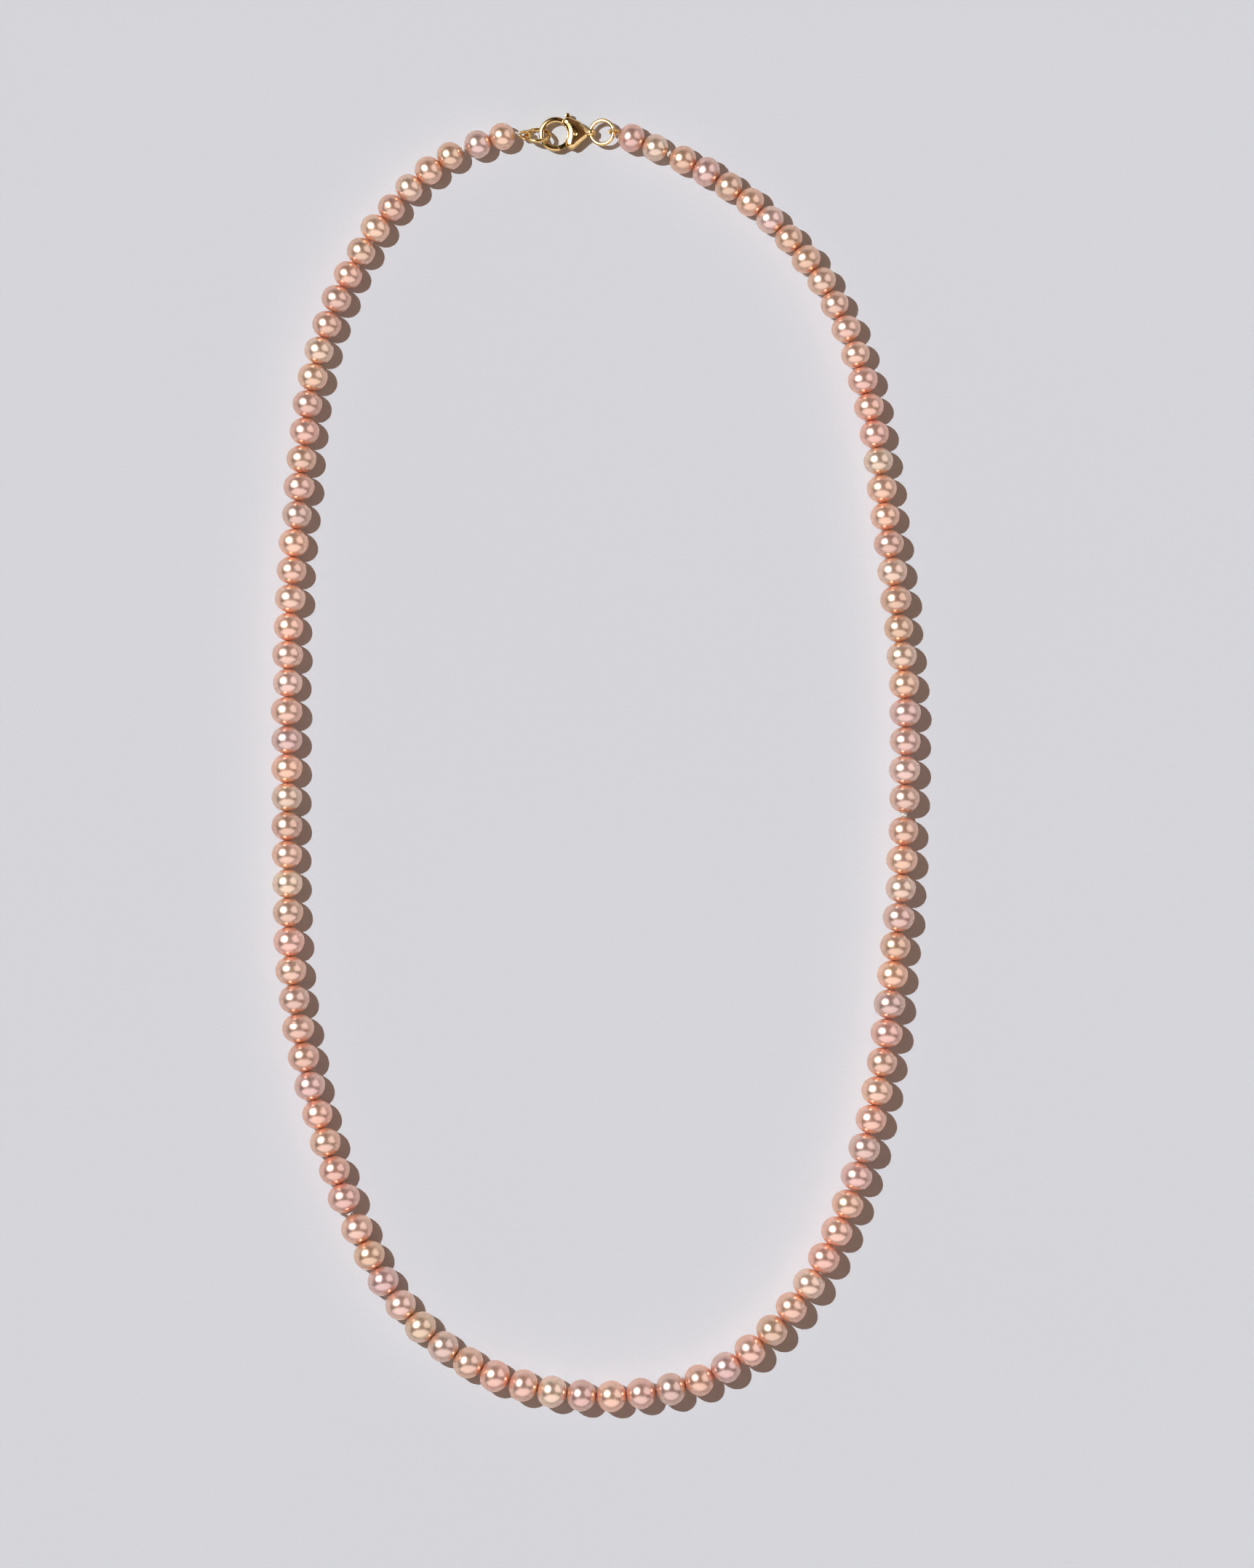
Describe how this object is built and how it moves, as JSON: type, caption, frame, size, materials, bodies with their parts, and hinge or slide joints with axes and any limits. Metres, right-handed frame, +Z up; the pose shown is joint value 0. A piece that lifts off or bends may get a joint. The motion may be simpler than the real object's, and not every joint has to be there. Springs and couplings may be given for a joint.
{
  "type": "pearl necklace",
  "caption": "Single strand of graded drilled pearls on knotted silk, closed in a loop by a gold trigger clasp on jump rings, worn round the neck.",
  "frame": {"origin": "on the floor under the middle of the closed necklace's outline", "axes": "+Y along the loop, towards the clasp; +X across the loop, towards the tail side of the clasp; +Z up from the floor that the strand lies on"},
  "size_m": [0.1146, 0.2293, 0.0056],
  "materials": {
    "pearl": "pearly nacre, soft gloss",
    "gold": "polished",
    "silk": "twisted silk, soft sheen",
    "spring_steel": "bright drawn strip"
  },
  "bodies": {
    "strand_01": {"pearls_01": "pearl", "silk_01": "silk"},
    "strand_02": {"pearls_02": "pearl", "silk_02": "silk"},
    "strand_03": {"pearls_03": "pearl", "silk_03": "silk"},
    "strand_04": {"pearls_04": "pearl", "silk_04": "silk"},
    "strand_05": {"pearls_05": "pearl", "silk_05": "silk"},
    "strand_06": {"pearls_06": "pearl", "silk_06": "silk"},
    "strand_07": {"pearls_07": "pearl", "silk_07": "silk"},
    "strand_08": {"pearls_08": "pearl", "silk_08": "silk"},
    "strand_09": {"pearls_09": "pearl", "silk_09": "silk"},
    "strand_10": {"pearls_10": "pearl", "silk_10": "silk"},
    "strand_11": {"pearls_11": "pearl", "silk_11": "silk"},
    "strand_12": {"pearls_12": "pearl", "silk_12": "silk"},
    "strand_13": {"pearls_13": "pearl", "silk_13": "silk"},
    "strand_14": {"pearls_14": "pearl", "silk_14": "silk"},
    "strand_15": {"pearls_15": "pearl", "silk_15": "silk"},
    "strand_16": {"pearls_16": "pearl", "silk_16": "silk"},
    "strand_17": {"pearls_17": "pearl", "silk_17": "silk"},
    "strand_18": {"pearls_18": "pearl", "silk_18": "silk"},
    "strand_19": {"pearls_19": "pearl", "silk_19": "silk"},
    "strand_20": {"pearls_20": "pearl", "silk_20": "silk"},
    "strand_21": {"pearls_21": "pearl", "silk_21": "silk"},
    "strand_22": {"pearls_22": "pearl", "silk_22": "silk", "silk_loop_right": "silk", "french_wire_right": "gold"},
    "loop_left": {"silk_loop_left": "silk", "french_wire_left": "gold"},
    "ring_left": {"jump_ring_left": "gold"},
    "ring_right": {"jump_ring_right": "gold"},
    "clasp": {"clasp_body": "gold", "lever_pin": "gold", "lever_spring": "spring_steel"},
    "trigger": {"trigger_lever": "gold"}
  },
  "joints": [
    {"name": "loop_spread", "type": "hinge", "parent": "strand_11", "child": "strand_12", "pos_m": [0.01061, -0.11119, 0.00276], "axis": [0, 0, -1], "range_deg": [-3.88, 7.77]},
    {"name": "bend_13", "type": "hinge", "parent": "strand_12", "child": "strand_13", "pos_m": [0.03292, -0.09832, 0.0028], "axis": [0, 0, 1], "range_deg": [-9.4, 4.7]},
    {"name": "bend_14", "type": "hinge", "parent": "strand_13", "child": "strand_14", "pos_m": [0.04531, -0.07555, 0.00276], "axis": [0, 0, 1], "range_deg": [-1.41, 0.71]},
    {"name": "bend_15", "type": "hinge", "parent": "strand_14", "child": "strand_15", "pos_m": [0.05095, -0.05035, 0.00272], "axis": [0, 0, 1], "range_deg": [-2.85, 5.68]},
    {"name": "bend_16", "type": "hinge", "parent": "strand_15", "child": "strand_16", "pos_m": [0.05365, -0.02474, 0.00271], "axis": [0, 0, 1], "range_deg": [-3.86, 7.71]},
    {"name": "bend_17", "type": "hinge", "parent": "strand_16", "child": "strand_17", "pos_m": [0.05458, 0.00123, 0.00269], "axis": [0, 0, 1], "range_deg": [-3.27, 6.54]},
    {"name": "bend_18", "type": "hinge", "parent": "strand_17", "child": "strand_18", "pos_m": [0.05328, 0.02625, 0.00266], "axis": [0, 0, 1], "range_deg": [-3.17, 6.32]},
    {"name": "bend_19", "type": "hinge", "parent": "strand_18", "child": "strand_19", "pos_m": [0.05021, 0.05083, 0.00259], "axis": [0, 0, 1], "range_deg": [-2.84, 5.67]},
    {"name": "bend_20", "type": "hinge", "parent": "strand_19", "child": "strand_20", "pos_m": [0.04507, 0.07436, 0.0025], "axis": [0, 0, 1], "range_deg": [-1.59, 0.81]},
    {"name": "bend_21", "type": "hinge", "parent": "strand_20", "child": "strand_21", "pos_m": [0.03567, 0.09081, 0.00252], "axis": [0, 0, 1], "range_deg": [-3.95, 1.98]},
    {"name": "bend_22", "type": "hinge", "parent": "strand_21", "child": "strand_22", "pos_m": [0.02152, 0.10318, 0.00253], "axis": [0, 0, 1], "range_deg": [-4.39, 2.2]},
    {"name": "ring_right_turn", "type": "hinge", "parent": "strand_22", "child": "ring_right", "pos_m": [0.00318, 0.1114, 0.00271], "axis": [0, 0, 1], "range_deg": [-6.08, 3.05]},
    {"name": "bend_10", "type": "hinge", "parent": "strand_11", "child": "strand_10", "pos_m": [-0.01537, -0.1093, 0.00277], "axis": [0, 0, 1], "range_deg": [-3.29, 6.57]},
    {"name": "bend_09", "type": "hinge", "parent": "strand_10", "child": "strand_09", "pos_m": [-0.03615, -0.09373, 0.00273], "axis": [0, 0, 1], "range_deg": [-3.38, 6.74]},
    {"name": "bend_08", "type": "hinge", "parent": "strand_09", "child": "strand_08", "pos_m": [-0.04699, -0.06957, 0.00271], "axis": [0, 0, 1], "range_deg": [-3.27, 1.64]},
    {"name": "bend_07", "type": "hinge", "parent": "strand_08", "child": "strand_07", "pos_m": [-0.05297, -0.04439, 0.00273], "axis": [0, 0, 1], "range_deg": [-3.19, 1.6]},
    {"name": "bend_06", "type": "hinge", "parent": "strand_07", "child": "strand_06", "pos_m": [-0.05451, -0.01879, 0.00267], "axis": [0, 0, 1], "range_deg": [-7.12, 3.57]},
    {"name": "bend_05", "type": "hinge", "parent": "strand_06", "child": "strand_05", "pos_m": [-0.05454, 0.00651, 0.00269], "axis": [0, 0, 1], "range_deg": [-7.52, 3.77]},
    {"name": "bend_04", "type": "hinge", "parent": "strand_05", "child": "strand_04", "pos_m": [-0.05389, 0.03147, 0.00265], "axis": [0, 0, 1], "range_deg": [-5.96, 2.99]},
    {"name": "bend_03", "type": "hinge", "parent": "strand_04", "child": "strand_03", "pos_m": [-0.05176, 0.05606, 0.0026], "axis": [0, 0, 1], "range_deg": [-4.78, 2.4]},
    {"name": "bend_02", "type": "hinge", "parent": "strand_03", "child": "strand_02", "pos_m": [-0.04672, 0.07966, 0.00258], "axis": [0, 0, 1], "range_deg": [-0.48, 0.95]},
    {"name": "bend_01", "type": "hinge", "parent": "strand_02", "child": "strand_01", "pos_m": [-0.03465, 0.09988, 0.00245], "axis": [0, 0, 1], "range_deg": [-4.63, 9.25]},
    {"name": "left_loop_turn", "type": "hinge", "parent": "strand_01", "child": "loop_left", "pos_m": [-0.01395, 0.1112, 0.00236], "axis": [0, 0, 1], "range_deg": [-2.84, 5.68]},
    {"name": "left_ring_tilt", "type": "hinge", "parent": "loop_left", "child": "ring_left", "pos_m": [-0.0103, 0.11086, 0.00212], "axis": [-1, 0, 0], "range_deg": [0, 22]},
    {"name": "clasp_roll", "type": "hinge", "parent": "ring_right", "child": "clasp", "pos_m": [-0.00092, 0.1114, 0.0017], "axis": [1, 0, 0], "range_deg": [-7, 7]},
    {"name": "trigger_press", "type": "hinge", "parent": "clasp", "child": "trigger", "pos_m": [-0.00377, 0.111, 0.0017], "axis": [0, 0, -1], "range_deg": [0, 20], "stiffness_Nm_per_rad": 0.0002, "springref_deg": -11.46, "deforming": ["lever_spring"]}
  ],
  "couplings": [
    {"joint": "bend_13", "follows": "loop_spread", "ratio": -1.2068},
    {"joint": "bend_14", "follows": "loop_spread", "ratio": -0.17843},
    {"joint": "bend_15", "follows": "loop_spread", "ratio": 0.72832},
    {"joint": "bend_16", "follows": "loop_spread", "ratio": 0.99031},
    {"joint": "bend_17", "follows": "loop_spread", "ratio": 0.83867},
    {"joint": "bend_18", "follows": "loop_spread", "ratio": 0.81093},
    {"joint": "bend_19", "follows": "loop_spread", "ratio": 0.727},
    {"joint": "bend_20", "follows": "loop_spread", "ratio": -0.20258},
    {"joint": "bend_21", "follows": "loop_spread", "ratio": -0.50554},
    {"joint": "bend_22", "follows": "loop_spread", "ratio": -0.56214},
    {"joint": "ring_right_turn", "follows": "loop_spread", "ratio": -0.78002},
    {"joint": "bend_10", "follows": "loop_spread", "ratio": 0.84304},
    {"joint": "bend_09", "follows": "loop_spread", "ratio": 0.86494},
    {"joint": "bend_08", "follows": "loop_spread", "ratio": -0.41827},
    {"joint": "bend_07", "follows": "loop_spread", "ratio": -0.40758},
    {"joint": "bend_06", "follows": "loop_spread", "ratio": -0.9143},
    {"joint": "bend_05", "follows": "loop_spread", "ratio": -0.96531},
    {"joint": "bend_04", "follows": "loop_spread", "ratio": -0.76514},
    {"joint": "bend_03", "follows": "loop_spread", "ratio": -0.61313},
    {"joint": "bend_02", "follows": "loop_spread", "ratio": 0.1193},
    {"joint": "bend_01", "follows": "loop_spread", "ratio": 1.1883},
    {"joint": "left_loop_turn", "follows": "loop_spread", "ratio": 0.72787}
  ]
}
